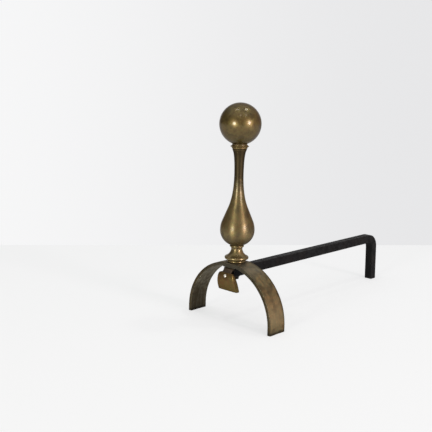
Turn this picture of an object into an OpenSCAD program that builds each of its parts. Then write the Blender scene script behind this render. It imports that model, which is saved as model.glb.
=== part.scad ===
// Andiron: a turned brass post and ball on an arched brass leg strap, with a
// square iron billet bar that runs back into the fire and bends down into its
// own rear leg. One long rod through the post clamps everything together.
//
// Frame: X to the right, Y back into the fire, Z up. The origin is on the
// hearth, under the middle of the whole andiron; post_y puts the post's axis.

/* [Ball] */
// Diameter of the ball
ball_d = 82.5; // [74:0.5:90]
// Wall of the hollow ball
ball_wall = 3; // [2.5:0.25:4]

/* [Collar] */
// Diameter of the sharp flange under the ball
flange_d = 36.4; // [34:0.2:40]
// Height of the collar, from the column to the ball's boss
collar_h = 7; // [6:0.5:9]

/* [Column] */
// Height of the column, from the bead under the bulb to the collar
column_h = 192.6; // [180:0.5:240]
// Widest diameter of the bulb
bulb_d = 69; // [60:0.5:76]
// Diameter of the slender neck
neck_d = 18.4; // [17:0.2:22]
// Diameter of the trumpet mouth under the collar
trumpet_d = 28.6; // [26:0.2:32]
// Wall of the hollow bulb
column_wall = 4; // [3:0.25:5]

/* [Pedestal] */
// Height of the pedestal, from the legs to the column
pedestal_h = 35.2; // [32:0.2:44]
// Widest diameter of the pedestal's ring
ring_d = 48.4; // [42:0.2:52]
// Narrowest diameter of the pedestal's waist
waist_d = 22.6; // [20:0.2:26]

/* [Legs] */
// Outside radius of the bent strap
arch_r = 112.7; // [90:0.5:140]
// Straight length at each foot
foot_h = 12; // [6:0.5:30]
// Width of the strap, front to back
strap_w = 44.5; // [38:0.5:56]
// Thickness of the strap
strap_t = 7.6; // [6:0.2:10]

/* [Front tongue] */
// Width of the tongue at its square-cut tip
tongue_w = 50.4; // [40:0.2:60]
// Width of the tongue's neck under the strap
tongue_neck_w = 22; // [20:0.2:26]
// Height of the tip above the hearth
tongue_z = 67.5; // [55:0.5:75]

/* [Billet bar] */
// Side of the square bar
bar_side = 19.05; // [16:0.05:22]
// Distance from the post's axis to the back of the rear foot
bar_reach = 510; // [300:1:650]
// Outside radius of the bar's bend
bar_bend_r = 34; // [26:1:60]
// Backward lean of the rear leg, in degrees
leg_lean = 2.5; // [0:0.5:6]

/* [Rod and nut] */
// Diameter of the tie rod
rod_d = 6.35; // [5:0.05:7]
// Width of the nut across its flats
nut_af = 11.1; // [10:0.1:12.5]
// Height of the nut
nut_h = 5.6; // [4:0.1:7]
// Diameter of the washer
washer_d = 15.8; // [13:0.1:18]
// Thickness of the washer
washer_t = 1.6; // [1:0.1:2]

/* [Fits] */
// Gap all round the rod where it passes through a piece
rod_gap = 0.6; // [0.3:0.05:1]
// Gap all round where the rod or the boss is screwed or soldered in
tight_gap = 0.05; // [0.02:0.01:0.1]

/* [Hidden] */
$fn = 96;
eps = 0.01;

brass = "#7a6436";
dark_brass = "#5f4b2a";
iron = "#232225";
steel = "#3c3a38";

// Heights, from the hearth up, and the place of the post's axis.
arch_top = foot_h + arch_r;
seat_cut = 1.5;
seat_z = arch_top - seat_cut;
base_r = 18.6;
seat_r = base_r + 0.8;
pad_t = 2.8;
pad_w = 30;
bar_top = arch_top - strap_t - pad_t;
bar_bottom = bar_top - bar_side;
column_z = seat_z + pedestal_h;
collar_z = column_z + column_h;
boss_z = collar_z + collar_h;
boss_rim_h = 3;
ball_cut_z = boss_z + boss_rim_h;

// Ball and boss.
ball_r = ball_d / 2;
rim_r = 16;
ball_z = ball_cut_z + sqrt(ball_r * ball_r - rim_r * rim_r);
plug_r = 12.6;
plug_h = 12;
total_h = ball_z + ball_r;

// Rod, from just under the nut to inside the boss.
rod_r = rod_d / 2;
rod_hole_r = rod_r + rod_gap;
thread_r = rod_r + tight_gap;
rod_end = 1;
nut_top = bar_bottom - washer_t;
rod_bottom = nut_top - nut_h - rod_end;
thread_depth = 10;
rod_top = boss_z + thread_depth - 1;

// Tongue: the top of its back meets the bar's end; below that it bends forward.
tongue_back = -17;
tongue_crown = -33.2;
tongue_tip_front = -25;
bend_low_z = 96;
hollow_y = -26.4;
hollow_z = 102;
front_reach = max(ball_r, -tongue_crown);
post_y = (front_reach - bar_reach) / 2;

// Points of an arc about c = [r, z], from angle a0 to a1.
function arc(c, r, a0, a1, n = 12) =
  [for (i = [0:n]) let (a = a0 + (a1 - a0) * i / n) [c[0] + r * cos(a), c[1] + r * sin(a)]];

// Points of a smooth bend that leaves p0 towards p1 and arrives at p2 from it.
function bend(p0, p1, p2, n = 12) =
  [for (i = [0:n]) let (t = i / n) (1 - t) * (1 - t) * p0 + 2 * t * (1 - t) * p1 + t * t * p2];

// Outside of the bulb up to its straight taper, brought in by off.
low_r = 32;
shoulder_r = 50;
taper = 22.8;
foot_r = 13;
bulb_r = bulb_d / 2;
low_c = bulb_r - low_r;
bulb_z = sqrt(low_r * low_r - (foot_r - low_c) * (foot_r - low_c));
low_a = -asin(bulb_z / low_r);
shoulder_c = bulb_r - shoulder_r;
function bulb(off) =
  concat(
    arc([low_c, bulb_z], low_r - off, low_a, 0, 14),
    arc([shoulder_c, bulb_z], shoulder_r - off, 2, taper, 8)
  );

// Solid of revolution about the post's axis from points [r, z] above z0.
module turned(points, z0) {
  translate([0, 0, z0])
    rotate_extrude()
      polygon(points);
}

// Everything is drawn about the post's axis and moved there in one step.
module at_post() {
  translate([0, post_y, 0])
    children();
}

// Round hole or core, 1 mm longer than z0 to z1 at each end.
module hole_down(r, z0, z1) {
  translate([0, 0, z0 - 1])
    cylinder(h = z1 - z0 + 2, r = r);
}

module ball_finial() {
  color(brass) at_post()
    difference() {
      translate([0, 0, ball_z]) sphere(r = ball_r);
      translate([0, 0, ball_z]) sphere(r = ball_r - ball_wall);
      hole_down(plug_r + tight_gap, ball_cut_z, ball_z);
      translate([0, 0, ball_cut_z - ball_r])
        cylinder(h = ball_r, r = ball_r);
    }
}

module ball_boss() {
  color(dark_brass) at_post()
    difference() {
      union() {
        translate([0, 0, boss_z]) cylinder(h = boss_rim_h, r = rim_r);
        translate([0, 0, boss_z]) cylinder(h = boss_rim_h + plug_h, r = plug_r);
      }
      hole_down(thread_r, boss_z - 1, boss_z + thread_depth - 1);
    }
}

// Collar: a small ovolo under a thin, sharp flange.
module finial_collar() {
  top_r = 15.9;
  foot_w = trumpet_d / 2 + 0.2;
  ovolo = 1.7;
  flange_z = collar_h * 0.62;
  edge = 0.9;
  edge_c = flange_d / 2 - edge;
  color(brass) at_post()
    turned(
      concat(
        [[rod_hole_r, 0], [foot_w - 0.4, 0]],
        arc([foot_w - 0.4, ovolo * 0.7 + 0.3], ovolo * 0.9, -60, 60, 8),
        [[foot_w, flange_z - 1.6]],
        bend([foot_w, flange_z - 1.5], [foot_w + 0.4, flange_z - edge], [edge_c, flange_z - edge], 6),
        arc([edge_c, flange_z], edge, -80, 80, 8),
        bend([edge_c, flange_z + edge], [top_r + 0.3, flange_z + edge], [top_r, collar_h], 6),
        [[rod_hole_r, collar_h]]
      ),
      collar_z
    );
}

// Column: bulb, straight taper, slender neck and trumpet, hollow in the bulb.
module column() {
  neck_r = neck_d / 2;
  mouth_r = trumpet_d / 2;
  neck_z = column_h * 0.74;
  bead_h = 2.8;
  taper_start = bulb_z + shoulder_r * sin(taper);
  taper_r = shoulder_c + shoulder_r * cos(taper);
  taper_h = (column_h - bulb_z) * 0.16;
  taper_end = [taper_r - taper_h * tan(taper), taper_start + taper_h];
  meet = [neck_r, taper_end[1] + (taper_end[0] - neck_r) / tan(taper)];
  bore_r = 5;
  in_r = shoulder_c + (shoulder_r - column_wall) * cos(taper);
  in_z = bulb_z + (shoulder_r - column_wall) * sin(taper);
  in_h = (in_r - bore_r) / tan(taper);
  cavity_h = min(in_h, taper_h * 1.2);
  cavity_top = in_z + cavity_h + 6;
  color(brass) at_post()
    difference() {
      turned(
        concat(
          [[rod_hole_r, 0], [foot_r, 0]],
          bulb(0),
          bend(taper_end, meet, [neck_r, neck_z], 14),
          bend([neck_r, neck_z + 2], [neck_r + 0.2, column_h - 10], [mouth_r - 0.3, column_h - bead_h], 12),
          arc([mouth_r - bead_h / 2, column_h - bead_h / 2], bead_h / 2, -70, 90, 8),
          [[rod_hole_r, column_h]]
        ),
        column_z
      );
      turned(
        concat(
          [[0, bulb_z - (low_r - column_wall) * sin(-low_a)]],
          bulb(column_wall),
          [[in_r - cavity_h * tan(taper), in_z + cavity_h], [rod_hole_r, cavity_top], [0, cavity_top]]
        ),
        column_z
      );
    }
}

// Pedestal: base bead, half-round ring, hollow waist and the bead under the bulb.
module pedestal() {
  base_bead = 2.7;
  notch = 1;
  ring_h = 6.2;
  ring_z = base_bead * 2 + notch + ring_h / 2;
  ring_c = ring_d / 2 - ring_h / 2;
  top_bead = 2.2;
  top_r = 14.3;
  waist_r = waist_d / 2;
  waist_z = pedestal_h * 0.733;
  ring_top = ring_z + ring_h / 2;
  neck_z = pedestal_h - 2 * top_bead;
  core_r = 13;
  core_h = 7;
  color(brass) at_post()
    turned(
      concat(
        [[core_r, 0]],
        arc([base_r - base_bead, base_bead], base_bead, -80, 80, 10),
        [[base_r - base_bead, base_bead * 2 + notch]],
        arc([ring_c, ring_z], ring_h / 2, -80, 86, 14),
        bend([ring_c - 0.3, ring_top + 0.2], [waist_r + 2, ring_top + 4.7], [waist_r, waist_z], 12),
        [[waist_r, neck_z - 3.3]],
        bend([waist_r, neck_z - 3], [waist_r, neck_z - 1.2], [top_r - top_bead + 0.4, neck_z], 5),
        arc([top_r - top_bead, pedestal_h - top_bead], top_bead, -80, 80, 8),
        [[top_r - top_bead, pedestal_h], [rod_hole_r, pedestal_h], [rod_hole_r, core_h], [core_r, core_h]]
      ),
      seat_z
    );
}

// Strap bent to a half round with straight feet, a flat seat on top for the
// pedestal and a flat pad underneath for the bar.
module leg_arch() {
  color(brass) at_post()
    difference() {
      translate([0, strap_w / 2, foot_h])
        rotate([90, 0, 0])
          linear_extrude(strap_w)
            union() {
              difference() {
                circle(r = arch_r);
                circle(r = arch_r - strap_t);
                translate([-arch_r * 2, -arch_r * 2])
                  square([arch_r * 4, arch_r * 2]);
              }
              for (side = [-1, 1])
                translate([side * (arch_r - strap_t / 2) - strap_t / 2, -foot_h])
                  square([strap_t, foot_h]);
              translate([-pad_w / 2, arch_r - strap_t - pad_t])
                square([pad_w, pad_t + strap_t / 2]);
            }
      translate([0, 0, seat_z])
        cylinder(h = seat_cut * 2, r = seat_r);
      hole_down(rod_hole_r, bar_top, arch_top);
    }
}

// Outline of the tongue seen from the front, as [half width, z].
module tongue_outline() {
  w = tongue_w / 2;
  n = tongue_neck_w / 2;
  shoulder_z = bar_top - 8.5;
  right = concat(
    [[n, bar_top]],
    bend([n, shoulder_z + 2.5], [n, shoulder_z], [n + 2.5, shoulder_z - 0.3], 5),
    bend([w * 0.66, shoulder_z - 0.9], [w * 0.76, shoulder_z - 1.5], [w * 0.8, shoulder_z - 5.5], 5),
    bend([w * 0.8 + 0.1, shoulder_z - 6], [w * 0.895, shoulder_z - 15], [w, tongue_z], 8)
  );
  left = [for (i = [len(right) - 1:-1:0]) [-right[i][0], right[i][1]]];
  polygon(concat(right, left));
}

// Side view of the tongue, as [y, z]: bent forward from its neck, then back towards the tip.
module tongue_side() {
  front_r = -strap_w / 2;
  neck_front = -26.4;
  polygon(
    concat(
      bend([tongue_back, tongue_z], [tongue_back - 1.5, tongue_z + 16.5], [hollow_y, hollow_z], 12),
      bend([hollow_y, hollow_z + 0.1], [hollow_y - 1, hollow_z + 4], [hollow_y + 3.4, hollow_z + 7], 8),
      [[tongue_back, bar_top - 3.4], [tongue_back, bar_top]],
      [[front_r, bar_top], [neck_front + 1, bar_top - 0.7]],
      bend([neck_front, bar_top - 5], [-32.8, bar_top - 10.3], [tongue_crown, bend_low_z], 12),
      bend(
        [tongue_crown, bend_low_z - 0.1],
        [tongue_crown - 0.4, bend_low_z - 14],
        [tongue_tip_front, tongue_z],
        12
      )
    )
  );
}

module front_tongue() {
  color(brass) at_post()
    intersection() {
      translate([0, -10, 0])
        rotate([90, 0, 0])
          linear_extrude(40)
            tongue_outline();
      rotate([90, 0, 90])
        translate([0, 0, -tongue_w])
          linear_extrude(tongue_w * 2)
            tongue_side();
    }
}

// Square bar, level under the arch, bent down at the back into the rear leg,
// which leans back a little and is cut level at the hearth.
module billet_bar() {
  inner_r = bar_bend_r - bar_side;
  bend_z = bar_top - bar_bend_r;
  out_z = bend_z + bar_bend_r * sin(leg_lean);
  bend_y = bar_reach - out_z * tan(leg_lean) - bar_bend_r * cos(leg_lean);
  foot_y = bar_reach - bar_side / cos(leg_lean);
  color(iron) at_post()
    difference() {
      rotate([90, 0, 90])
        translate([0, 0, -bar_side / 2])
          linear_extrude(bar_side)
            polygon(
              concat(
                [[tongue_back, bar_bottom], [tongue_back, bar_top]],
                arc([bend_y, bend_z], bar_bend_r, 90, leg_lean, 16),
                [[bar_reach, 0], [foot_y, 0]],
                arc([bend_y, bend_z], inner_r, leg_lean, 90, 10)
              )
            );
      hole_down(rod_hole_r, bar_bottom, bar_top);
    }
}

module tie_rod() {
  tip = 0.8;
  color(steel) at_post()
    turned(
      [
        [0, 0],
        [rod_r - tip, 0],
        [rod_r, tip],
        [rod_r, rod_top - rod_bottom - tip],
        [rod_r - tip, rod_top - rod_bottom],
        [0, rod_top - rod_bottom]
      ],
      rod_bottom
    );
}

module washer() {
  color(steel) at_post()
    difference() {
      translate([0, 0, nut_top]) cylinder(h = washer_t, r = washer_d / 2);
      hole_down(rod_hole_r, nut_top, bar_bottom);
    }
}

module clamp_nut() {
  corner_r = nut_af / 2 / cos(30);
  cut = 1;
  color(steel) at_post()
    difference() {
      intersection() {
        translate([0, 0, nut_top - nut_h]) cylinder(h = nut_h, r = corner_r, $fn = 6);
        turned(
          [[0, 0], [corner_r - cut, 0], [corner_r + eps, cut], [corner_r + eps, nut_h], [0, nut_h]],
          nut_top - nut_h
        );
      }
      hole_down(thread_r, nut_top - nut_h, nut_top);
    }
}

ball_finial();
ball_boss();
finial_collar();
column();
pedestal();
leg_arch();
front_tongue();
billet_bar();
tie_rod();
washer();
clamp_nut();
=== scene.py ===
"""A brass andiron: ball, turned post, arched strap legs, drop tongue and square iron bar."""
import math

import bmesh
import bpy
from mathutils import Matrix, Vector, noise

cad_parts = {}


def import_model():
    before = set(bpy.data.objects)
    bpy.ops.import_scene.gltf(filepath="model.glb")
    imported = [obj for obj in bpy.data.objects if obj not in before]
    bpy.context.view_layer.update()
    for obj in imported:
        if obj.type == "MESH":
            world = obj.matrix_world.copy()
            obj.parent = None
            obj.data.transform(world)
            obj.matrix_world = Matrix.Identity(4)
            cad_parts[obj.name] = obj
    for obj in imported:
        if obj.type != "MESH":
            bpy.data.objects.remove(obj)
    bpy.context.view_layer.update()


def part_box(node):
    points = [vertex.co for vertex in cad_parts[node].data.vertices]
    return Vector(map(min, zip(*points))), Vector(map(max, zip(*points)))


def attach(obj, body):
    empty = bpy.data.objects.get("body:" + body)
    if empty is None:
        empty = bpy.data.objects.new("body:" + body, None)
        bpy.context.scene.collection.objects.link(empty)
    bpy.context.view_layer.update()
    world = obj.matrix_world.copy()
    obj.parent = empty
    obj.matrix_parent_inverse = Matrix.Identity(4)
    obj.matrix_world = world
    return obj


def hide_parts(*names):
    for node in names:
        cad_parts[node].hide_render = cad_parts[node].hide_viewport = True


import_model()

MM = 0.001
BODY = "root"


# ---------------------------------------------------------------- sizes, in mm
def span(node):
    """Lowest and highest corner of a CAD node, in mm."""
    low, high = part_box(node)
    return low / MM, high / MM


def width(node):
    low, high = span(node)
    return high.x - low.x


POST_Y = (span("column")[0].y + span("column")[1].y) / 2
HEARTH = 0.0

ARCH_R = width("leg_arch") / 2
ARCH_TOP = ARCH_R + 12.0
STRAP_W = span("leg_arch")[1].y - span("leg_arch")[0].y
STRAP_T = 7.6
SEAT_Z = span("pedestal")[0].z
BAR_SIDE = width("billet_bar")
BAR_TOP = span("billet_bar")[1].z
BAR_END_Y = span("billet_bar")[1].y
BEND_R = 34.0
LEG_LEAN = math.radians(2.5)
TONGUE_BACK = span("front_tongue")[1].y - POST_Y
COLUMN_Z = span("column")[0].z
COLLAR_Z = span("finial_collar")[0].z
BOSS_Z = span("ball_boss")[0].z
BALL_TOP = span("ball_finial")[1].z
BALL_R = 41.25
BALL_Z = BALL_TOP - BALL_R
BALL_CUT_Z = span("ball_finial")[0].z
RIM_R = width("ball_boss") / 2
ROD_HOLE_R = 3.775

# A guess: a small domed head on the tongue's front. The middle of its rim, and its radius.
RIVET = Vector((0, POST_Y - 31.95, 99.5))
RIVET_R = 3.0


# ------------------------------------------------------------------- outlines
def arc(centre, radius, start, end, count):
    """Points of an arc, angles in degrees."""
    points = []
    for i in range(count + 1):
        angle = math.radians(start + (end - start) * i / count)
        points.append((centre[0] + radius * math.cos(angle), centre[1] + radius * math.sin(angle)))
    return points


def bend(p0, p1, p2, count):
    """Points of a smooth bend that leaves p0 towards p1 and arrives at p2 from it."""
    points = []
    for i in range(count + 1):
        t = i / count
        a, b, c = (1 - t) ** 2, 2 * t * (1 - t), t * t
        points.append((a * p0[0] + b * p1[0] + c * p2[0], a * p0[1] + b * p1[1] + c * p2[1]))
    return points


def eased(corners, radius):
    """A closed outline with each corner rounded off."""
    out = []
    for i, corner in enumerate(corners):
        here = Vector(corner)
        before = Vector(corners[i - 1]) - here
        after = Vector(corners[(i + 1) % len(corners)]) - here
        reach = min(radius, before.length * 0.45, after.length * 0.45)
        start = here + before.normalized() * reach
        end = here + after.normalized() * reach
        out += bend(start, here, end, 5)
    return out


def evenly(points, step, closed=False):
    """The outline with long stretches split, so that marks have room to change."""
    out = []
    ends = points[1:] + points[:1] if closed else points[1:]
    for a, b in zip(points, ends):
        pieces = max(1, math.ceil(math.dist(a, b) / step))
        for k in range(pieces):
            t = k / pieces
            out.append((a[0] + (b[0] - a[0]) * t, a[1] + (b[1] - a[1]) * t))
    if not closed:
        out.append(points[-1])
    return out


# --------------------------------------------------------------------- meshes
SHARP_FROM = math.radians(38)


def new_piece(name, bm, material, node):
    """Turns mesh code into a finished piece that stands for a CAD node."""
    bmesh.ops.recalc_face_normals(bm, faces=bm.faces)
    mesh = bpy.data.meshes.new(name)
    bm.to_mesh(mesh)
    bm.free()
    mesh.shade_smooth()
    mesh.set_sharp_from_angle(angle=SHARP_FROM)
    piece = bpy.data.objects.new(name, mesh)
    bpy.context.scene.collection.objects.link(piece)
    mesh.materials.append(material)
    add_marks(mesh)
    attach(piece, BODY)
    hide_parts(node)
    return piece


def about_post(r, angle, z):
    """Place in metres of a point given by its radius, angle and height about the post's axis."""
    return r * math.cos(angle) * MM, (POST_Y + r * math.sin(angle)) * MM, z * MM


def lathe(outline, steps):
    """Solid of revolution about the post's axis from a closed outline of (r, z)."""
    bm = bmesh.new()
    rings = []
    for r, z in outline:
        if r < 1e-4:
            rings.append([bm.verts.new((0, POST_Y * MM, z * MM))])
            continue
        ring = []
        for k in range(steps):
            angle = 2 * math.pi * k / steps
            ring.append(bm.verts.new(about_post(r, angle, z)))
        rings.append(ring)
    pairs = list(zip(rings, rings[1:]))
    if len(rings[0]) > 1 and len(rings[-1]) > 1:
        pairs.append((rings[-1], rings[0]))
    for low, high in pairs:
        if len(low) == 1 and len(high) == 1:
            continue
        for k in range(steps):
            m = (k + 1) % steps
            if len(low) == 1:
                bm.faces.new((low[0], high[m], high[k]))
            elif len(high) == 1:
                bm.faces.new((low[k], low[m], high[0]))
            else:
                bm.faces.new((low[k], low[m], high[m], high[k]))
    return bm


def skin(rows):
    """Closed mesh through rows of points, each row a loop, with flat ends."""
    bm = bmesh.new()
    loops = [[bm.verts.new(Vector(p) * MM) for p in row] for row in rows]
    for low, high in zip(loops, loops[1:]):
        count = len(low)
        for k in range(count):
            m = (k + 1) % count
            bm.faces.new((low[k], low[m], high[m], high[k]))
    bm.faces.new(list(reversed(loops[0])))
    bm.faces.new(loops[-1])
    return bm


def rounded_section(wide, thick, radius, step, crown=0.0):
    """Loop of (across, out) points: a bar's cross-section with rounded corners."""
    w, t = wide / 2, thick / 2
    loop = []
    for cx, cy, start in ((w, t, 0), (-w, t, 90), (-w, -t, 180), (w, -t, 270)):
        centre = (cx - math.copysign(radius, cx), cy - math.copysign(radius, cy))
        loop += arc(centre, radius, start, start + 90, 5)
    loop = evenly(loop, step, closed=True)
    return [(a, b - crown * (a / w) ** 2 * (1 if b > 0 else 0)) for a, b in loop]


# ------------------------------------------------- marks that materials follow
# Rings where two pieces meet, as (r, z): dirt gathers there.
SEAMS = [
    (RIM_R, BALL_CUT_Z),
    (RIM_R - 0.6, BOSS_Z),
    (14.4, COLLAR_Z),
    (13.2, COLUMN_Z),
    (17.4, SEAT_Z),
]
SEAM_DIRT, SEAM_REACH = 0.9, 0.7
WEAR_GAIN, DIRT_GAIN = 4.0, 5.0


def add_marks(mesh):
    """Stores, for each point, how worn its edge is and how much dirt it holds."""
    bm = bmesh.new()
    bm.from_mesh(mesh)
    bm.normal_update()
    bent = []
    for vert in bm.verts:
        total = 0.0
        for edge in vert.link_edges:
            out = edge.other_vert(vert).co - vert.co
            if out.length > 1e-9:
                total -= vert.normal.dot(out.normalized())
        bent.append(total / max(1, len(vert.link_edges)))
    wear = mesh.attributes.new("wear", "FLOAT", "POINT")
    dirt = mesh.attributes.new("dirt", "FLOAT", "POINT")
    for index, vert in enumerate(bm.verts):
        around = [bent[e.other_vert(vert).index] for e in vert.link_edges]
        value = (bent[index] * 2 + sum(around) / max(1, len(around))) / 3
        radius = math.hypot(vert.co.x / MM, vert.co.y / MM - POST_Y)
        near = min(math.dist((radius, vert.co.z / MM), seam) for seam in SEAMS)
        at_seam = SEAM_DIRT * math.exp(-((near / SEAM_REACH) ** 2))
        wear.data[index].value = min(1.0, max(0.0, value * WEAR_GAIN))
        dirt.data[index].value = min(1.0, max(0.0, -value * DIRT_GAIN) + at_seam)
    bm.free()


def store_run(piece, rows, loop, lengths):
    """Stores, as the vector `run`, the way along and round a swept piece and how far inside or at an edge it
    is: there it is rubbed less, and the strap's colour is darkened, on the inner face as painted shade.
    """
    run = piece.data.attributes.new("run", "FLOAT_VECTOR", "POINT")
    back_reach, front_reach = 6.5, 3.5
    wide, deep = max(across for across, up in loop), max(up for across, up in loop)
    for r in range(rows):
        for k, (across, up) in enumerate(loop):
            inside = 1.0 if up < -deep * 0.8 else 0.8 if abs(across) > wide - 0.3 else 0.0
            if not inside:
                back = max(0.0, 1 - (wide - across) / back_reach)
                front = max(0.0, 1 - (wide + across) / front_reach)
                inside = max(0.95 * back, 0.7 * front)
            run.data[r * len(loop) + k].vector = (lengths[r] * MM, k / len(loop), inside)


# ------------------------------------------------------------------ materials
def group(name, inputs, outputs):
    """An empty shader node group with named sockets."""
    tree = bpy.data.node_groups.new(name, "ShaderNodeTree")
    for label, kind, value in inputs:
        socket = tree.interface.new_socket(label, in_out="INPUT", socket_type=kind)
        socket.default_value = value
    for label, kind in outputs:
        tree.interface.new_socket(label, in_out="OUTPUT", socket_type=kind)
    tree.nodes.new("NodeGroupInput").name = "in"
    tree.nodes.new("NodeGroupOutput").name = "out"
    return tree


FLOAT, COLOR = "NodeSocketFloat", "NodeSocketColor"


class Sheet:
    """Short hand for placing and joining nodes of one tree."""

    def __init__(self, tree):
        self.tree = tree

    def add(self, kind, **settings):
        node = self.tree.nodes.new(kind)
        for key, value in settings.items():
            setattr(node, key, value)
        return node

    def join(self, source, target):
        self.tree.links.new(source, target)

    def put(self, value, socket):
        if isinstance(value, bpy.types.NodeSocket):
            self.join(value, socket)
        else:
            socket.default_value = value

    def math(self, operation, a, b=0.0, clamp=False):
        node = self.add("ShaderNodeMath", operation=operation, use_clamp=clamp)
        self.put(a, node.inputs[0])
        self.put(b, node.inputs[1])
        return node.outputs[0]

    def fit(self, value, low, high, to_low=0.0, to_high=1.0):
        node = self.add("ShaderNodeMapRange", interpolation_type="SMOOTHSTEP")
        for socket, given in zip(node.inputs, (value, low, high, to_low, to_high)):
            self.put(given, socket)
        return node.outputs[0]

    def mix(self, factor, a, b):
        node = self.add("ShaderNodeMix", data_type="RGBA")
        self.put(factor, node.inputs[0])
        self.put(a, node.inputs[6])
        self.put(b, node.inputs[7])
        return node.outputs[2]

    def noise(self, vector, scale, detail=3.0, roughness=0.55, distortion=0.0):
        node = self.add("ShaderNodeTexNoise")
        self.join(vector, node.inputs["Vector"])
        self.put(scale, node.inputs["Scale"])
        node.inputs["Detail"].default_value = detail
        node.inputs["Roughness"].default_value = roughness
        node.inputs["Distortion"].default_value = distortion
        return node.outputs["Fac"]

    def stretched(self, vector, factors):
        node = self.add("ShaderNodeVectorMath", operation="MULTIPLY")
        self.join(vector, node.inputs[0])
        self.put(factors, node.inputs[1])
        return node.outputs[0]

    def use(self, tree, **values):
        node = self.add("ShaderNodeGroup", node_tree=tree)
        for key, value in values.items():
            self.put(value, node.inputs[key.replace("_", " ")])
        return node.outputs


def make_patina():
    """Cloudy tarnish with small dark spots: a colour, its mask and a height."""
    tree = group(
        "patina",
        [("Clean", COLOR, (0.6, 0.45, 0.2, 1)), ("Olive", COLOR, (0.3, 0.25, 0.1, 1)),
         ("Brown", COLOR, (0.2, 0.12, 0.05, 1)), ("Size", FLOAT, 60.0), ("Spots", FLOAT, 0.5),
         ("Shift", FLOAT, 0.0)],
        [("Color", COLOR), ("Mask", FLOAT), ("Height", FLOAT)],
    )
    s = Sheet(tree)
    given, out = tree.nodes["in"].outputs, tree.nodes["out"].inputs
    place = s.add("ShaderNodeTexCoord").outputs["Object"]
    moved = s.add("ShaderNodeVectorMath", operation="ADD")
    s.join(place, moved.inputs[0])
    s.join(given["Shift"], moved.inputs[1])
    where = moved.outputs[0]
    cloud = s.noise(where, given["Size"], 4.0, 0.6, 0.4)
    patch = s.noise(where, s.math("MULTIPLY", given["Size"], 0.43), 2.0, 0.5)
    fleck = s.noise(where, s.math("MULTIPLY", given["Size"], 7.0), 2.0, 0.5)
    olive = s.fit(cloud, 0.36, 0.66)
    brown = s.fit(patch, 0.46, 0.68)
    spot = s.math("MULTIPLY", s.fit(fleck, 0.60, 0.70), given["Spots"])
    color = s.mix(olive, given["Clean"], given["Olive"])
    color = s.mix(s.math("MULTIPLY", brown, 0.8), color, given["Brown"])
    color = s.mix(s.math("MULTIPLY", spot, 0.7), color, given["Brown"])
    s.join(color, out["Color"])
    s.join(s.math("MAXIMUM", olive, spot), out["Mask"])
    s.join(s.math("SUBTRACT", cloud, s.math("MULTIPLY", spot, 0.5)), out["Height"])
    return tree


def make_edges():
    """Rubbed bright edges and dirt in the hollows, broken up so neither is a clean line."""
    tree = group(
        "edges",
        [("Color", COLOR, (0.5, 0.4, 0.2, 1)), ("Bright", COLOR, (0.7, 0.55, 0.3, 1)),
         ("Dirt", COLOR, (0.035, 0.025, 0.014, 1)), ("Wear", FLOAT, 0.5), ("Grime", FLOAT, 1.0),
         ("Size", FLOAT, 180.0)],
        [("Color", COLOR), ("Worn", FLOAT), ("Dirty", FLOAT)],
    )
    s = Sheet(tree)
    given, out = tree.nodes["in"].outputs, tree.nodes["out"].inputs
    place = s.add("ShaderNodeTexCoord").outputs["Object"]
    broken = s.noise(place, given["Size"], 3.0, 0.6)
    wear = s.add("ShaderNodeAttribute", attribute_name="wear").outputs["Fac"]
    dirt = s.add("ShaderNodeAttribute", attribute_name="dirt").outputs["Fac"]
    ragged_wear = s.math("ADD", wear, s.math("MULTIPLY", broken, 0.5))
    ragged_dirt = s.math("ADD", dirt, s.math("MULTIPLY", broken, 0.3))
    worn = s.math("MULTIPLY", s.fit(ragged_wear, 0.45, 0.95), given["Wear"])
    dirty = s.math("MULTIPLY", s.fit(ragged_dirt, 0.25, 0.8), given["Grime"])
    color = s.mix(worn, given["Color"], given["Bright"])
    s.join(s.mix(dirty, color, given["Dirt"]), out["Color"])
    s.join(worn, out["Worn"])
    s.join(dirty, out["Dirty"])
    return tree


def make_turning():
    """Fine rings left by the lathe, at constant height on the piece."""
    tree = group("turning", [("Rings", FLOAT, 900.0)], [("Height", FLOAT)])
    s = Sheet(tree)
    place = s.add("ShaderNodeTexCoord").outputs["Object"]
    lines = s.noise(s.stretched(place, (0.02, 0.02, 1.0)), tree.nodes["in"].outputs["Rings"], 3.0, 0.7)
    s.join(lines, tree.nodes["out"].inputs["Height"])
    return tree


def make_drawn():
    """Long scratches and draw lines along a swept piece."""
    tree = group(
        "drawn",
        [("Lines", FLOAT, 18.0), ("Length", FLOAT, 11.0)],
        [("Mask", FLOAT), ("Height", FLOAT), ("Inside", FLOAT)],
    )
    s = Sheet(tree)
    given, out = tree.nodes["in"].outputs, tree.nodes["out"].inputs
    run = s.add("ShaderNodeAttribute", attribute_name="run").outputs["Vector"]
    split = s.add("ShaderNodeSeparateXYZ")
    s.join(run, split.inputs[0])
    packed = s.add("ShaderNodeCombineXYZ")
    s.join(s.math("MULTIPLY", split.outputs[0], given["Length"]), packed.inputs[0])
    s.join(s.math("MULTIPLY", split.outputs[1], given["Lines"]), packed.inputs[1])
    streak = s.noise(packed.outputs[0], 1.0, 5.0, 0.65)
    s.join(s.fit(streak, 0.40, 0.66), out["Mask"])
    s.join(streak, out["Height"])
    s.join(split.outputs[2], out["Inside"])
    return tree


def make_band():
    """A mask that sets in from one height to another, unevenly, and is full above."""
    tree = group("band", [("Low", FLOAT, 0.29), ("High", FLOAT, 0.31)], [("Mask", FLOAT)])
    s = Sheet(tree)
    given, out = tree.nodes["in"].outputs, tree.nodes["out"].inputs
    place = s.add("ShaderNodeTexCoord").outputs["Object"]
    split = s.add("ShaderNodeSeparateXYZ")
    s.join(place, split.inputs[0])
    wander = s.math("MULTIPLY", s.noise(place, 60.0), s.math("SUBTRACT", given["High"], given["Low"]))
    s.join(s.fit(s.math("ADD", split.outputs[2], wander), given["Low"], given["High"]), out["Mask"])
    return tree


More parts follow.
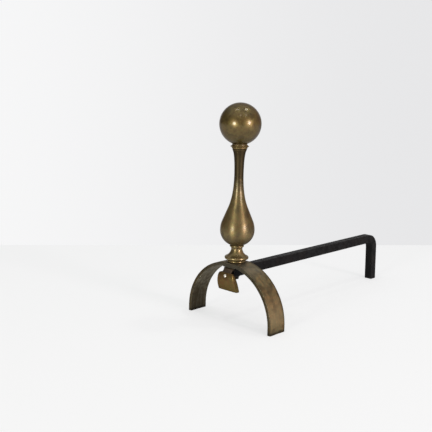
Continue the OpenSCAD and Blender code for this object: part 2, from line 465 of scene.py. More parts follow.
def make_shade_below():
    """Where the surface faces down: the mask for the painted shade on it."""
    tree = group("shade_below", [("From", FLOAT, 0.1), ("To", FLOAT, 0.8)], [("Mask", FLOAT)])
    s = Sheet(tree)
    given, out = tree.nodes["in"].outputs, tree.nodes["out"].inputs
    split = s.add("ShaderNodeSeparateXYZ")
    s.join(s.add("ShaderNodeNewGeometry").outputs["Normal"], split.inputs[0])
    s.join(s.fit(s.math("MULTIPLY", split.outputs[2], -1.0), given["From"], given["To"]), out["Mask"])
    return tree


PATINA = make_patina()
SHADE_BELOW = make_shade_below()
BAND = make_band()
EDGES = make_edges()
TURNING = make_turning()
DRAWN = make_drawn()


def strap_tarnish(s, tone, marks, fine):
    """The strap's colour: streaks along it, rubbed low down; painted shade on the inner face, lighter near the
    crown as a painted reflection of the floor, and at the foot; thin sides and the outer face's edges darker;
    a painted pale sheen on top of the arch.
    """
    def less(mask):
        return s.math("SUBTRACT", 1.0, mask)

    def height(low, high):
        return s.use(BAND, Low=low, High=high)["Mask"]

    tone = s.mix(s.math("MULTIPLY", marks["Mask"], 0.42), tone, STREAK)
    inner = s.fit(marks["Inside"], 0.82, 0.98)
    # Painted shade on the inner face under the arch, lighter near the crown as a painted reflection of the
    # floor.
    shaded_inside = s.mix(s.math("MULTIPLY", height(0.06, 0.115), inner), INNER_SHADE, INNER_FLOOR_REFLECTION)
    shaded_inside = s.mix(s.math("MULTIPLY", marks["Mask"], 0.65), shaded_inside, INNER_STREAK)
    shaded_inside = s.mix(s.math("MULTIPLY", fine["Mask"], 0.70), shaded_inside, NEAR_BLACK)
    # The thin side faces and the outer face near its edges are darkened.
    shaded_inside = s.mix(s.math("MULTIPLY", less(inner), 0.75), shaded_inside, NEAR_BLACK)
    low = s.math("MULTIPLY", less(height(0.06, 0.12)), height(0.018, 0.040))
    tone = s.mix(s.math("MULTIPLY", low, 0.40), tone, RUBBED)
    # Painted sheen: from about 108 mm up to the arch's top the colour is made pale grey.
    tone = s.mix(s.math("MULTIPLY", height(0.108, 0.124), 0.38), tone, TOP_SHEEN)
    tone = s.mix(s.math("MULTIPLY", marks["Inside"], 0.85), tone, shaded_inside)
    # Painted shade on the lowest 5 to 10 mm, where the feet stand on the floor.
    return s.mix(s.math("MULTIPLY", less(height(0.005, 0.010)), 0.75), tone, FOOT_SHADE)


def rivet_color(s, color):
    """The colour with the rivet head made near-white: rubbed metal, and a painted highlight that stands in for
    the bright spot on the tongue.
    """
    gap = s.add("ShaderNodeVectorMath", operation="DISTANCE")
    s.join(s.add("ShaderNodeTexCoord").outputs["Object"], gap.inputs[0])
    gap.inputs[1].default_value = RIVET * MM
    return s.mix(s.math("LESS_THAN", gap.outputs["Value"], (RIVET_R + 0.2) * MM), color, RUBBED_HEAD_AND_GLINT)


def brass(name, clean, olive, brown, size, shift, finish, rough=(0.24, 0.42), wear=0.6, coat=0.25,
          grime=1.0, streak=0.0, band=None, coat_rough=0.10, relief=0.12, bright=1.5, under=0.35,
          dark=(0.03, 0.021, 0.009, 1), mottle=None, rivet=False):
    """Aged brass.

    finish is TURNING for lathe work, DRAWN for strap. streak draws highlights out up the post. band is the
    two heights between which the colour dark sets in. mottle is the fine tarnish: three colours, its share
    of the tone and how many times finer it is. under is how much painted shade darkens surfaces that face
    down. rivet makes the head on the tongue near-white: rubbed metal and a painted highlight.
    """
    metal = 0.85
    fleck_clean, fleck_olive, fleck_brown, share, finer = mottle or MOTTLE
    material = bpy.data.materials.new(name)
    material.use_nodes = True
    s = Sheet(material.node_tree)
    shader = material.node_tree.nodes["Principled BSDF"]
    patina = s.use(PATINA, Clean=clean, Olive=olive, Brown=brown, Size=size, Spots=0.6, Shift=shift)
    fine = s.use(PATINA, Clean=fleck_clean, Olive=fleck_olive, Brown=fleck_brown, Size=size * finer,
                 Spots=0.8, Shift=shift + 5.0)
    tone = s.mix(share, patina["Color"], fine["Color"])
    marks = s.use(finish)
    if finish is DRAWN:
        tone = strap_tarnish(s, tone, marks, fine)
        rubbed = s.math("SUBTRACT", 1.0, s.math("MULTIPLY", marks["Inside"], 0.65))
        wear = s.math("MULTIPLY", s.math("POWER", rubbed, 2.0), wear)
    dark_band = 0.0
    # The band darkens, roughens and dulls the coat above a height; on the tongue's neck it is painted shade.
    if band:
        dark_band = s.use(BAND, Low=band[0], High=band[1])["Mask"]
        tone = s.mix(s.math("MULTIPLY", dark_band, 0.9), tone, dark)
    # Painted shade: surfaces that face down are darkened, by the share under.
    tone = s.mix(s.math("MULTIPLY", s.use(SHADE_BELOW)["Mask"], under), tone, SHADE_BELOW_COLOR)
    edge_color = tuple(min(1.0, c * bright) for c in clean[:3]) + (1.0,)
    edges = s.use(EDGES, Color=tone, Bright=edge_color, Wear=wear, Grime=grime)
    color = rivet_color(s, edges["Color"]) if rivet else edges["Color"]
    s.join(color, shader.inputs["Base Color"])
    base = s.fit(patina["Mask"], 0.0, 1.0, rough[0], rough[1])
    matt = s.math("ADD", s.math("MULTIPLY", edges["Dirty"], 0.35), s.math("MULTIPLY", dark_band, 0.12))
    s.join(s.math("ADD", base, matt, clamp=True), shader.inputs["Roughness"])
    s.join(s.math("SUBTRACT", metal, s.math("MULTIPLY", edges["Dirty"], 0.6)), shader.inputs["Metallic"])
    shader.inputs["Coat Roughness"].default_value = coat_rough
    if streak:
        shader.inputs["Anisotropic"].default_value = streak
        shader.inputs["Anisotropic Rotation"].default_value = 0.25
        tangent = s.add("ShaderNodeTangent", direction_type="RADIAL", axis="Z")
        s.join(tangent.outputs[0], shader.inputs["Tangent"])
    shader.inputs["Specular Tint"].default_value = (0.34, 0.31, 0.27, 1)
    clear = s.math("SUBTRACT", 1.0, s.math("MULTIPLY", dark_band, 0.7))
    lacquer = s.fit(patina["Mask"], 0.0, 1.0, coat, coat * 0.85)
    s.join(s.math("MULTIPLY", lacquer, clear), shader.inputs["Coat Weight"])
    bump = s.add("ShaderNodeBump")
    bump.inputs["Strength"].default_value = relief
    bump.inputs["Distance"].default_value = 0.0005
    s.join(s.math("ADD", patina["Height"], s.math("MULTIPLY", marks["Height"], 0.6)), bump.inputs["Height"])
    s.join(bump.outputs[0], shader.inputs["Normal"])
    return material


def black_iron():
    """Hot-rolled bar, blackened by years of fire."""
    material = bpy.data.materials.new("black_iron")
    material.use_nodes = True
    s = Sheet(material.node_tree)
    shader = material.node_tree.nodes["Principled BSDF"]
    patina = s.use(PATINA, Clean=(0.0055, 0.0055, 0.0060, 1), Olive=(0.0032, 0.0032, 0.0036, 1),
                   Brown=(0.0070, 0.0060, 0.0058, 1), Size=90.0, Spots=0.4, Shift=3.0)
    marks = s.use(DRAWN, Lines=20.0, Length=14.0)
    edges = s.use(EDGES, Color=patina["Color"], Bright=(0.09, 0.085, 0.085, 1), Wear=0.35, Grime=0.5)
    s.join(edges["Color"], shader.inputs["Base Color"])
    shader.inputs["Specular IOR Level"].default_value = 0.06
    s.join(s.fit(patina["Mask"], 0.0, 1.0, 0.46, 0.62), shader.inputs["Roughness"])
    s.join(s.math("MULTIPLY", edges["Worn"], 0.6), shader.inputs["Metallic"])
    bump = s.add("ShaderNodeBump")
    bump.inputs["Strength"].default_value = 0.35
    bump.inputs["Distance"].default_value = 0.0006
    s.join(s.math("ADD", patina["Height"], marks["Height"]), bump.inputs["Height"])
    s.join(bump.outputs[0], shader.inputs["Normal"])
    return material


def dark_steel():
    """Oiled and sooted steel of the rod, washer and nut."""
    material = bpy.data.materials.new("dark_steel")
    material.use_nodes = True
    s = Sheet(material.node_tree)
    shader = material.node_tree.nodes["Principled BSDF"]
    patina = s.use(PATINA, Clean=(0.035, 0.033, 0.032, 1), Olive=(0.016, 0.015, 0.015, 1),
                   Brown=(0.028, 0.018, 0.013, 1), Size=260.0, Spots=0.6, Shift=7.0)
    edges = s.use(EDGES, Color=patina["Color"], Bright=(0.16, 0.15, 0.14, 1), Wear=0.6, Grime=0.8)
    s.join(edges["Color"], shader.inputs["Base Color"])
    s.join(s.fit(patina["Mask"], 0.0, 1.0, 0.3, 0.55), shader.inputs["Roughness"])
    s.join(s.math("SUBTRACT", 0.9, s.math("MULTIPLY", edges["Dirty"], 0.7)), shader.inputs["Metallic"])
    bump = s.add("ShaderNodeBump")
    bump.inputs["Strength"].default_value = 0.25
    bump.inputs["Distance"].default_value = 0.0003
    s.join(patina["Height"], bump.inputs["Height"])
    s.join(bump.outputs[0], shader.inputs["Normal"])
    return material


CLEAN = (0.121, 0.079, 0.025, 1)
OLIVE = (0.085, 0.062, 0.019, 1)
BROWN = (0.075, 0.043, 0.0145, 1)
# Fine tarnish: clean, olive and brown colours, share of the tone, times finer.
MOTTLE = ((0.135, 0.124, 0.040, 1), (0.165, 0.092, 0.036, 1), (0.026, 0.020, 0.013, 1), 0.42, 4.0)
BALL_MOTTLE = ((0.132, 0.116, 0.038, 1), (0.096, 0.055, 0.020, 1), (0.022, 0.018, 0.011, 1), 0.38, 4.8)
STRAP_MOTTLE = ((0.134, 0.124, 0.064, 1), (0.250, 0.155, 0.068, 1), (0.030, 0.025, 0.017, 1), 0.62, 4.2)
# Painted shade on the strap's inner face.
INNER_SHADE = (0.014, 0.0135, 0.009, 1)
# Painted reflection of the floor on the inner face near the crown.
INNER_FLOOR_REFLECTION = (0.215, 0.200, 0.155, 1)
# Near-black of the darker flecks, the thin sides and the outer face's edges.
NEAR_BLACK = (0.006, 0.0055, 0.004, 1)
INNER_STREAK = (0.085, 0.080, 0.064, 1)
# Colour of the painted shade at the foot.
FOOT_SHADE = (0.012, 0.010, 0.007, 1)
RUBBED = (0.268, 0.208, 0.112, 1)
# Pale grey of the painted sheen on the arch's top.
TOP_SHEEN = (0.230, 0.225, 0.190, 1)
# Near-white of the rivet head: rubbed metal and a painted highlight.
RUBBED_HEAD_AND_GLINT = (0.80, 0.76, 0.70, 1)
STREAK = (0.070, 0.054, 0.034, 1)
# Colour of the painted shade on surfaces that face down.
SHADE_BELOW_COLOR = (0.045, 0.032, 0.013, 1)
# Clean, olive and brown colours of the column, and of the smaller turned pieces.
TURNED = ((0.180, 0.135, 0.064, 1), (0.126, 0.098, 0.046, 1), (0.094, 0.061, 0.028, 1))
LATHED = ((0.240, 0.175, 0.080, 1), (0.175, 0.132, 0.058, 1), (0.125, 0.080, 0.032, 1))
BALL_BRASS = brass("aged_brass_ball", CLEAN, OLIVE, BROWN, 46.0, 1.3, TURNING, rough=(0.40, 0.42), coat=0.46,
                   grime=0.1, under=0.2, coat_rough=0.19, relief=0.0, mottle=BALL_MOTTLE)
TURNED_BRASS = brass("aged_brass_turned", *LATHED, 46.0, 2.3, TURNING, rough=(0.35, 0.42), coat=0.36,
                     streak=0.45, coat_rough=0.18, relief=0.05, grime=0.85)
COLLAR_BRASS = brass("aged_brass_collar", *LATHED, 46.0, 2.3, TURNING, rough=(0.42, 0.50), coat=0.2,
                     coat_rough=0.3, relief=0.05, grime=0.35, under=0.1)
COLUMN_BRASS = brass("aged_brass_column", *TURNED, 46.0, 2.3, TURNING, rough=(0.44, 0.53), coat=0.29,
                     streak=0.66, band=(0.278, 0.309), coat_rough=0.26, relief=0.02, grime=0.6, under=0.65)
STRAP_BRASS = brass("aged_brass_strap", (0.175, 0.144, 0.080, 1), (0.122, 0.098, 0.050, 1),
                    (0.165, 0.100, 0.042, 1), 38.0, 1.7, DRAWN, rough=(0.42, 0.54), wear=1.0, coat=0.05,
                    bright=2.3, under=0.0, mottle=STRAP_MOTTLE)
# The neck's dark band is the painted shade of the strap above it. The worn edges are coloured a quarter as
# bright as the clean colour: partly dark grime, partly painted shade over their reflections.
TONGUE_BRASS = brass("aged_brass_tongue", (0.130, 0.086, 0.028, 1), (0.108, 0.084, 0.022, 1),
                     (0.128, 0.056, 0.026, 1), 34.0, 2.2, TURNING, rough=(0.36, 0.46), wear=1.0, coat=0.04,
                     grime=0.25, relief=0.03, bright=0.25, band=(0.1055, 0.107),
                     dark=(0.060, 0.046, 0.036, 1), rivet=True)
BLACK_IRON = black_iron()
DARK_STEEL = dark_steel()


# --------------------------------------------------------------------- pieces
def brass_ball():
    """Hollow ball with a flat cut at the boss's rim."""
    wall = 3.0
    inner = BALL_R - wall
    low = -math.degrees(math.asin((BALL_Z - BALL_CUT_Z) / BALL_R))
    hole = 12.65
    hole_low = -math.degrees(math.acos(hole / inner))
    outside = arc((0, BALL_Z), BALL_R, low, 90, 110)
    inside = arc((0, BALL_Z), inner, hole_low, 90, 60)
    outside[-1] = (0.0, BALL_TOP)
    inside[-1] = (0.0, BALL_Z + inner)
    outline = [(hole, BALL_CUT_Z)] + outside + inside[::-1]
    return new_piece("brass_ball", lathe(outline, 192), BALL_BRASS, "ball_finial")


def ball_boss():
    """Threaded boss let into the ball, with a hollowed rim that shows as a dark groove."""
    plug_r, plug_h, bore, depth = 12.6, 12.0, 3.22, 9.0
    rim_h = BALL_CUT_Z - BOSS_Z
    outline = [(bore, BOSS_Z), (RIM_R - 1.0, BOSS_Z)]
    outline += bend((RIM_R - 0.7, BOSS_Z + 0.2), (RIM_R - 2.4, BOSS_Z + rim_h * 0.5),
                    (RIM_R - 0.2, BALL_CUT_Z - 0.1), 8)
    outline += [(plug_r, BALL_CUT_Z), (plug_r, BALL_CUT_Z + plug_h), (0, BALL_CUT_Z + plug_h)]
    outline += [(0, BOSS_Z + depth), (bore, BOSS_Z + depth)]
    return new_piece("boss_turned", lathe(outline, 96), TURNED_BRASS, "ball_boss")


def collar():
    """Small ovolo under a thin, sharp flange."""
    top_r, foot, ovolo, edge = 15.9, 14.5, 1.7, 0.9
    height = BOSS_Z - COLLAR_Z
    flange = width("finial_collar") / 2
    z = height * 0.62
    outline = [(ROD_HOLE_R, 0), (foot - 0.4, 0)]
    outline += arc((foot - 0.4, ovolo * 0.7 + 0.3), ovolo * 0.9, -60, 60, 14)
    outline += [(foot, z - 1.6)]
    outline += bend((foot, z - 1.5), (foot + 0.4, z - edge), (flange - edge, z - edge), 10)
    outline += arc((flange - edge, z), edge, -80, 80, 12)
    outline += bend((flange - edge, z + edge), (top_r + 0.3, z + edge), (top_r, height), 10)
    outline += [(ROD_HOLE_R, height)]
    bm = lathe(evenly([(r, COLLAR_Z + h) for r, h in outline], 0.8, True), 128)
    return new_piece("collar_turned", bm, COLLAR_BRASS, "finial_collar")


def column():
    """Bulb, straight taper, slender neck and trumpet mouth."""
    height = COLLAR_Z - COLUMN_Z
    bulb_r, neck_r, mouth_r, foot_r = width("column") / 2, 9.2, 14.3, 13.0
    low_r, shoulder_r, taper, bead = 32.0, 50.0, 22.8, 2.8
    low_c, shoulder_c = bulb_r - low_r, bulb_r - shoulder_r
    bulb_z = math.sqrt(low_r ** 2 - (foot_r - low_c) ** 2)
    low_a = -math.degrees(math.asin(bulb_z / low_r))
    lean = math.radians(taper)
    slope = math.tan(lean)
    start = (shoulder_c + shoulder_r * math.cos(lean), bulb_z + shoulder_r * math.sin(lean))
    fall = (height - bulb_z) * 0.16
    end = (start[0] - fall * slope, start[1] + fall)
    meet = (neck_r, end[1] + (end[0] - neck_r) / slope)
    neck_z = height * 0.74
    outline = [(ROD_HOLE_R, 0), (foot_r, 0)]
    outline += arc((low_c, bulb_z), low_r, low_a, 0, 40)
    outline += arc((shoulder_c, bulb_z), shoulder_r, 0.5, taper, 24)
    outline += bend(end, meet, (neck_r, neck_z), 44)
    outline += bend((neck_r, neck_z + 2), (neck_r + 0.2, height - 10), (mouth_r - 0.3, height - bead), 30)
    outline += arc((mouth_r - bead / 2, height - bead / 2), bead / 2, -70, 90, 12)
    outline += [(ROD_HOLE_R, height)]
    bm = lathe(evenly([(r, COLUMN_Z + h) for r, h in outline], 1.6, True), 176)
    return new_piece("column_turned", bm, COLUMN_BRASS, "column")


def pedestal():
    """Base bead, half-round ring, hollow waist and the bead under the bulb."""
    height = COLUMN_Z - SEAT_Z
    base_bead, notch, base_r, ring_h, top_bead, top_r = 2.7, 1.0, 18.6, 6.2, 2.2, 14.3
    waist_r, core_r, core_h = 11.3, 13.0, 7.0
    ring_r = width("pedestal") / 2 - ring_h / 2
    ring_z = base_bead * 2 + notch + ring_h / 2
    ring_top = ring_z + ring_h / 2
    neck_z = height - 2 * top_bead
    outline = [(core_r, 0)]
    outline += arc((base_r - base_bead, base_bead), base_bead, -80, 80, 18)
    outline += [(base_r - base_bead, base_bead * 2 + notch)]
    outline += arc((ring_r, ring_z), ring_h / 2, -80, 86, 24)
    outline += bend((ring_r - 0.3, ring_top + 0.2), (waist_r + 2, ring_top + 4.7),
                    (waist_r, height * 0.733), 24)
    outline += [(waist_r, neck_z - 3.3)]
    outline += bend((waist_r, neck_z - 3), (waist_r, neck_z - 1.2), (top_r - top_bead + 0.4, neck_z), 8)
    outline += arc((top_r - top_bead, height - top_bead), top_bead, -80, 80, 14)
    outline += [(top_r - top_bead, height), (ROD_HOLE_R, height), (ROD_HOLE_R, core_h), (core_r, core_h)]
    bm = lathe(evenly([(r, SEAT_Z + h) for r, h in outline], 0.8, True), 144)
    return new_piece("pedestal_turned", bm, TURNED_BRASS, "pedestal")


def leg_strap():
    """Strap bent to a half round on straight feet, flat under the pedestal and over the bar."""
    foot = ARCH_TOP - ARCH_R
    middle = ARCH_R - STRAP_T / 2
    loop = rounded_section(STRAP_W, STRAP_T, 1.1, 1.6, crown=0.25)
    pad, ramp = 17, 2.5
    climbs, turns = 6, 170
    # Each station: which foot it is on, or 0 on the arch; its height on the foot; its angle on the arch.
    stations = [(-1, foot * k / climbs, 0.0) for k in range(climbs + 1)]
    stations += [(0, 0, 180 - 180 * k / turns) for k in range(1, turns)]
    stations += [(1, foot * (1 - k / climbs), 0.0) for k in range(climbs + 1)]
    rows, lengths, gone = [], [], 0.0
    before = None
    for side, height, angle in stations:
        if side:
            centre, out = Vector((side * middle, 0, height)), Vector((side, 0, 0))
        else:
            out = Vector((math.cos(math.radians(angle)), 0, math.sin(math.radians(angle))))
            centre = Vector((0, 0, foot)) + out * middle
        if before is not None:
            gone += (centre - before).length
        before = centre
        lengths.append(gone)
        row = []
        for across, up in loop:
            point = centre + out * up + Vector((0, across, 0))
            rough = noise.noise(point * 0.06) * 0.18 + noise.noise(point * 0.25) * 0.05
            point -= out * max(0.0, rough) * (1 if up > 0 else 0)
            point.z = min(point.z, SEAT_Z) if up > 0 else point.z
            if up < 0 and abs(point.x) < pad and point.z > BAR_TOP:
                ease = min(1.0, max(0.0, (pad - abs(point.x)) / ramp))
                point.z += (BAR_TOP - point.z) * ease * ease * (3 - 2 * ease)
            row.append(point + Vector((0, POST_Y, 0)))
        rows.append(row)
    rows = rounded_ends(rows, 0.7)
    lengths = [0.0, 0.0] + lengths + [gone, gone]
    piece = new_piece("leg_strap", skin(rows), STRAP_BRASS, "leg_arch")
    store_run(piece, len(rows), loop, lengths)
    return piece


def rounded_ends(rows, radius):
    """Rows with two more at each end, drawn in a little, so the cut ends have soft edges."""
    def drawn_in(end, inner, amounts):
        middle = sum(end, Vector()) / len(end)
        along = (middle - sum(inner, Vector()) / len(inner)).normalized()
        made = []
        for inset, back in amounts:
            made.append([p - (p - middle).normalized() * inset - along * back for p in end])
        return made
    first = drawn_in(rows[0], rows[1], ((radius, 0.0), (radius * 0.3, radius * 0.3)))
    last = drawn_in(rows[-1], rows[-2], ((radius * 0.3, radius * 0.3), (radius, 0.0)))
    first_row = drawn_in(rows[0], rows[1], ((0.0, radius),))
    last_row = drawn_in(rows[-1], rows[-2], ((0.0, radius),))
    return first + first_row + rows[1:-1] + last_row + last


def tongue():
    """Drop tongue: narrow neck under the strap, bent forward below it, then swelling to a square tip."""
    tip = span("front_tongue")[0].z
    top = BAR_TOP
    half_tip = width("front_tongue") / 2
    neck, shoulder = 11.0, top - 8.5
    hollow, crown = (-26.4, 102.0), (-33.2, 96.0)
    outline = bend((half_tip, tip), (half_tip * 0.895, shoulder - 15),
                   (half_tip * 0.8 + 0.1, shoulder - 6), 24)
    outline += bend((half_tip * 0.8, shoulder - 5.5), (half_tip * 0.76, shoulder - 1.5),
                    (half_tip * 0.66, shoulder - 0.9), 8)
    outline += bend((neck + 2.5, shoulder - 0.3), (neck, shoulder), (neck, shoulder + 2.5), 8)
    outline += [(neck, top)]
    face = bend((-25.0, tip), (crown[0] - 0.4, crown[1] - 14), crown, 20)
    face += bend((crown[0], crown[1] + 0.1), (-32.8, top - 10.3), (-26.4, top - 5), 18)
    face += [(-25.4, top - 0.7), (-STRAP_W / 2, top)]
    back = bend((TONGUE_BACK, tip), (TONGUE_BACK - 1.5, tip + 16.5), hollow, 16)
    back += bend((hollow[0], hollow[1] + 0.1), (hollow[0] - 1, hollow[1] + 4),
                 (hollow[0] + 3.4, hollow[1] + 7), 10)
    back += [(TONGUE_BACK, top - 3.4), (TONGUE_BACK, top)]
    # half is half the width at each height; face and back are measured from the post's axis.
    rows = [tongue_row(half, reach_at(face, z), reach_at(back, z), z) for half, z in evenly(outline, 0.9)]
    bm = skin(rounded_ends(rows, 0.9))
    rivet_head(bm)
    return new_piece("drop_tongue", bm, TONGUE_BRASS, "front_tongue")


def rivet_head(bm, steps=28, tilts=6):
    """Low domed head on the tongue's front, closed underneath and sunk a little into the face."""
    dome, sunk, slope = 4.6, 0.6, math.radians(24)
    out = Vector((0, -math.cos(slope), math.sin(slope)))
    across = Vector((1, 0, 0))
    over = out.cross(across)
    edge = math.asin(RIVET_R / dome)
    base = dome * math.cos(edge)
    rings = []
    for k in range(1, tilts + 1):
        tilt = edge * k / tilts
        rings.append((dome * math.sin(tilt), dome * math.cos(tilt) - base))
    rings.append((RIVET_R, -sunk))
    loops = []
    for r, high in rings:
        loop = []
        for k in range(steps):
            angle = 2 * math.pi * k / steps
            aside = (across * math.cos(angle) + over * math.sin(angle)) * r
            loop.append(bm.verts.new((RIVET + out * high + aside) * MM))
        loops.append(loop)
    tip = bm.verts.new((RIVET + out * (dome - base)) * MM)
    for k in range(steps):
        m = (k + 1) % steps
        bm.faces.new((tip, loops[0][k], loops[0][m]))
        for near, far in zip(loops, loops[1:]):
            bm.faces.new((near[k], near[m], far[m], far[k]))
    bm.faces.new(loops[-1])


def reach_at(line, z):
    """Value at height z of a line of (value, z) points that climbs."""
    for (v0, z0), (v1, z1) in zip(line, line[1:]):
        if z <= z1:
            break
    return v0 + (v1 - v0) * (z - z0) / (z1 - z0)


def tongue_row(half, front, back, z):
    """One level of the tongue: crowned front with soft corners, straight across at the back."""
    depth = back - front
    sag = min(1.3, depth * 0.2) * (half / 25.0)
    corner = min(1.3, depth * 0.3)
    row = []
    count = 32
    for k in range(count + 1):
        u = math.sin(math.pi / 2 * (-1 + 2 * k / count))
        edge = max(0.0, (abs(u) - 0.90) / 0.10)
        y = front + sag * u * u + corner * (1 - math.sqrt(max(0.0, 1 - edge * edge)))
        row.append(Vector((half * u, POST_Y + y, z)))
    for k in range(1, 6):
        y = row[count].y + (POST_Y + back - row[count].y) * k / 6
        row.append(Vector((half, y, z)))
    for k in range(13):
        row.append(Vector((half - 2 * half * k / 12, POST_Y + back, z)))
    left = row[0].y
    for k in range(1, 6):
        y = POST_Y + back + (left - POST_Y - back) * k / 6
        row.append(Vector((-half, y, z)))
    return row


def square_bar():
    """Square iron bar, bent down at the back into the rear leg."""
    half = BAR_SIDE / 2
    bend_z = BAR_TOP - BEND_R
    out_z = bend_z + BEND_R * math.sin(LEG_LEAN)
    bend_y = BAR_END_Y - out_z * math.tan(LEG_LEAN) - BEND_R * math.cos(LEG_LEAN)
    start_y = POST_Y + TONGUE_BACK
    middle_r = BEND_R - half
    path = []
    straight = 90
    for k in range(straight):
        along = start_y + (bend_y - start_y) * k / straight
        path.append((Vector((0, along, BAR_TOP - half)), Vector((0, 0, 1))))
    turn = 28
    for k in range(turn + 1):
        angle = math.radians(90) + (LEG_LEAN - math.radians(90)) * k / turn
        out = Vector((0, math.cos(angle), math.sin(angle)))
        path.append((Vector((0, bend_y, bend_z)) + out * middle_r, out))
    down = Vector((0, math.sin(LEG_LEAN), -math.cos(LEG_LEAN)))
    last, out = path[-1]
    leg = (last.z - HEARTH) / math.cos(LEG_LEAN)
    drops = 20
    for k in range(1, drops + 1):
        path.append((last + down * leg * k / drops, out))
    loop = rounded_section(BAR_SIDE, BAR_SIDE, 1.3, 2.4)
    rows, lengths, gone = [], [], 0.0
    for i, (centre, out) in enumerate(path):
        if i:
            gone += (centre - path[i - 1][0]).length
        lengths.append(gone)
        row = []
        for across, up in loop:
            point = centre + Vector((across, 0, 0)) + out * up
            beat = noise.noise(point * 0.035) * 0.16 + noise.noise(point * 0.11) * 0.08
            inward = (centre - point).normalized()
            point += inward * max(0.0, beat)
            row.append(point)
        rows.append(row)
    for point in rows[-1]:
        point.z = HEARTH
    rows = rounded_ends(rows, 1.0)
    lengths = [0.0, 0.0] + lengths + [gone, gone]
    piece = new_piece("square_bar", skin(rows), BLACK_IRON, "billet_bar")
    store_run(piece, len(rows), loop, lengths)
    return piece


def thread_radius(z, angle, low, high, radius):
    """Radius of a rod with a 20-to-the-inch thread between two heights."""
    pitch, depth = 1.27, 0.62
    if not low < z < high:
        return radius
    turn = (z / pitch - angle / (2 * math.pi)) % 1.0
    return radius - depth * abs(2 * turn - 1)


def threaded_rod():
    """Tie rod with a screw thread at each end."""
    radius = width("tie_rod") / 2
    low, high = span("tie_rod")[0].z, span("tie_rod")[1].z
    thread = 12.0
    fine, coarse = 0.16, 14
    steps = 40
    heights = [low, low + 0.5]
    z = low + 0.6
    while z < low + thread:
        heights.append(z)
        z += fine
    z = low + thread + 2
    while z < high - thread:
        heights.append(z)
        z += coarse
    z = high - thread
    while z < high - 0.6:
        heights.append(z)
        z += fine
    heights += [high - 0.5, high]
    rows = []
    for z in heights:
        row = []
        for k in range(steps):
            angle = 2 * math.pi * k / steps
            r = radius
            if z < low + thread:
                r = thread_radius(z, angle, low + 0.55, low + thread, radius)
            elif z > high - thread:
                r = thread_radius(z, angle, high - thread, high - 0.55, radius)
            if z in (low, high):
                r = radius - 0.7
            row.append(Vector((r * math.cos(angle), POST_Y + r * math.sin(angle), z)))
        rows.append(row)
    return new_piece("threaded_rod", skin(rows), DARK_STEEL, "tie_rod")


def plain_washer():
    low, high = span("washer")[0].z, span("washer")[1].z
    outer = width("washer") / 2
    outline = eased([(ROD_HOLE_R, low), (outer, low), (outer, high), (ROD_HOLE_R, high)], 0.35)
    bm = lathe(evenly(outline, 0.8, True), 72)
    return new_piece("plain_washer", bm, DARK_STEEL, "washer")


def hex_nut():
    """Hexagonal nut with its lower corners chamfered off."""
    low, high = span("clamp_nut")[0].z, span("clamp_nut")[1].z
    corner = width("clamp_nut") / 2
    flat = corner * math.cos(math.radians(30))
    bore = 3.225
    steps = 96
    levels = [(bore, low + 0.5), (bore + 0.5, low), (flat * 0.93, low)]
    levels += [(corner - 1.0 + 0.25 * k, low + 0.25 * k) for k in range(1, 5)]
    levels += [(corner, low + 2.5), (corner, high - 0.25), (corner - 0.3, high)]
    levels += [(bore + 0.5, high), (bore, high - 0.5)]
    bm = bmesh.new()
    rings = []
    for limit, z in levels:
        ring = []
        for k in range(steps):
            angle = 2 * math.pi * k / steps
            off = (angle + math.pi / 6) % (math.pi / 3) - math.pi / 6
            r = min(limit, flat / math.cos(math.pi / 6 - abs(off)) if abs(off) else corner)
            r = min(r, corner)
            ring.append(bm.verts.new(about_post(r, angle, z)))
        rings.append(ring)
    for low_ring, high_ring in zip(rings, rings[1:] + rings[:1]):
        for k in range(steps):
            m = (k + 1) % steps
            bm.faces.new((low_ring[k], low_ring[m], high_ring[m], high_ring[k]))
    return new_piece("hex_nut", bm, DARK_STEEL, "clamp_nut")


for make in (brass_ball, ball_boss, collar, column, pedestal, leg_strap, tongue, square_bar, threaded_rod,
             plain_washer, hex_nut):
    make()


# ------------------------------------------------------ floor, light and camera
HEADING = math.radians(43.92)
AHEAD = Vector((-math.sin(HEADING), math.cos(HEADING), 0))
RIGHT = Vector((math.cos(HEADING), math.sin(HEADING), 0))
BALL_CENTRE = Vector((0, POST_Y, BALL_Z)) * MM
CAMERA_PLACE = Vector((984.4, POST_Y - 1084.5, 488.25)) * MM


def pale_floor():
    """Plain pale floor that ends behind the andiron, level across the picture."""
    under = Vector((CAMERA_PLACE.x, CAMERA_PLACE.y, HEARTH))
    back, slant, side, front = 2.154, 0.1045, 5.0, -4.0
    bm = bmesh.new()
    corners = [(-side, front), (side, front), (side, back + slant * side), (-side, back - slant * side)]
    bm.faces.new([bm.verts.new(under + RIGHT * across + AHEAD * along) for across, along in corners])
    bmesh.ops.subdivide_edges(bm, edges=bm.edges, cuts=3, use_grid_fill=True)
    mesh = bpy.data.meshes.new("pale_floor")
    bm.to_mesh(mesh)
    bm.free()
    floor = bpy.data.objects.new("pale_floor", mesh)
    bpy.context.scene.collection.objects.link(floor)
    material = bpy.data.materials.new("pale_floor")
    material.use_nodes = True
    shader = material.node_tree.nodes["Principled BSDF"]
    shader.inputs["Base Color"].default_value = (0.86, 0.875, 0.89, 1)
    shader.inputs["Roughness"].default_value = 0.8
    shader.inputs["Specular IOR Level"].default_value = 0.2
    brighten_floor(material.node_tree, shader)
    mesh.materials.append(material)


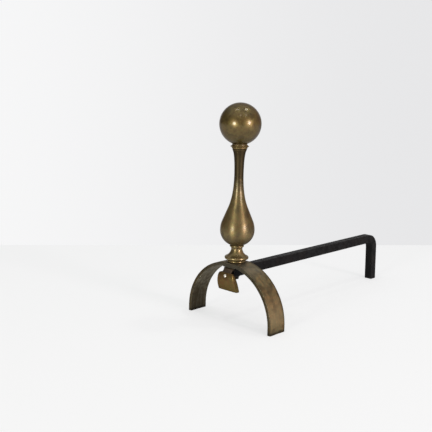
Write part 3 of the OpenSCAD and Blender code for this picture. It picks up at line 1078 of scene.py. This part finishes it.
def brighten_floor(tree, shader):
    """Most of the floor seen directly or mirrored is its own pale colour, so the shadow on it stays soft."""
    s = Sheet(tree)
    ray = s.add("ShaderNodeLightPath").outputs
    mirrored = s.math("ADD", ray["Is Glossy Ray"], ray["Is Transmission Ray"])
    seen = s.math("ADD", ray["Is Camera Ray"], mirrored, clamp=True)
    glow = s.add("ShaderNodeEmission")
    glow.inputs["Color"].default_value = (0.90, 0.905, 0.91, 1)
    blend = s.add("ShaderNodeMixShader")
    s.join(s.math("MULTIPLY", seen, 0.70), blend.inputs[0])
    s.join(shader.outputs[0], blend.inputs[1])
    s.join(glow.outputs[0], blend.inputs[2])
    s.join(blend.outputs[0], tree.nodes["Material Output"].inputs["Surface"])


def lamp(name, aside, up, distance, radius, radiance, color):
    """Round soft lamp aimed at the ball. aside and up are degrees from level and straight against HEADING."""
    data = bpy.data.lights.new(name, "AREA")
    data.shape = "DISK"
    data.size = radius * 2
    data.energy = radiance * math.pi ** 2 * radius ** 2
    data.color = color
    turn, rise = math.radians(aside), math.radians(up)
    level = -AHEAD * math.cos(turn) + RIGHT * math.sin(turn)
    towards = level * math.cos(rise) + Vector((0, 0, math.sin(rise)))
    light = bpy.data.objects.new(name, data)
    bpy.context.scene.collection.objects.link(light)
    light.visible_camera = False
    light.location = BALL_CENTRE + towards * distance
    light.rotation_euler = towards.to_track_quat("Z", "Y").to_euler()


def lights():
    lamp("soft_left", -34.6, 4.0, 5.5, 0.66, 52.0, (1.0, 0.99, 0.88))
    lamp("soft_right", 48, 8.2, 5.5, 0.70, 49.0, (1.0, 0.88, 0.90))
    lamp("ceiling_left", -75, 77, 2.4, 0.10, 48.0, (1.0, 0.97, 0.92))
    lamp("ceiling_right", 103, 67.5, 2.4, 0.11, 60.0, (0.97, 1.0, 0.90))
    lamp("far_left", -6, 51, 3.2, 0.10, 36.0, (1.0, 0.95, 0.88))
    lamp("far_right", 37, 48, 3.2, 0.10, 30.0, (1.0, 0.95, 0.84))


def world():
    """A room that is pale behind the andiron and above it, dim in front and at the left, warm at the right."""
    made = bpy.data.worlds.new("studio")
    bpy.context.scene.world = made
    made.use_nodes = True
    s = Sheet(made.node_tree)
    where = s.add("ShaderNodeTexCoord").outputs["Generated"]

    def along(direction):
        node = s.add("ShaderNodeVectorMath", operation="DOT_PRODUCT")
        s.join(where, node.inputs[0])
        node.inputs[1].default_value = direction
        return node.outputs["Value"]

    room = s.mix(s.fit(along(RIGHT), -0.2, 0.9), (0.17, 0.15, 0.13, 1), (0.58, 0.44, 0.38, 1))
    backdrop = s.mix(s.fit(along(RIGHT), -0.35, 0.30), (0.93, 0.93, 0.935, 1), (0.80, 0.80, 0.81, 1))
    room = s.mix(s.fit(along(AHEAD), 0.72, 0.94), room, backdrop)
    room = s.mix(s.fit(along((0, 0, 1)), -0.10, -0.02), backdrop, room)
    above = s.fit(along((0, 0, 1)), 0.42, 0.85)
    s.join(s.mix(above, room, (0.85, 0.87, 0.88, 1)), made.node_tree.nodes["Background"].inputs["Color"])


def camera():
    """The photograph's view: angles in degrees, place in mm from the post's foot."""
    focal_px, image_px, sensor = 748.75, 432, 36.0
    tilt, roll = math.radians(10.55), math.radians(1.36)
    data = bpy.data.cameras.new("photo_camera")
    data.sensor_width = sensor
    data.lens = focal_px / image_px * sensor
    up = Vector((0, 0, 1))
    forward = AHEAD * math.cos(tilt) - up * math.sin(tilt)
    upward = up * math.cos(tilt) + AHEAD * math.sin(tilt)
    across = RIGHT * math.cos(roll) + upward * math.sin(roll)
    upward = upward * math.cos(roll) - RIGHT * math.sin(roll)
    turn = Matrix((across, upward, -forward)).transposed().to_4x4()
    shot = bpy.data.objects.new("photo_camera", data)
    bpy.context.scene.collection.objects.link(shot)
    shot.matrix_world = Matrix.Translation(CAMERA_PLACE) @ turn
    bpy.context.scene.camera = shot


pale_floor()
lights()
world()
camera()
bpy.context.scene.view_settings.view_transform = "Standard"
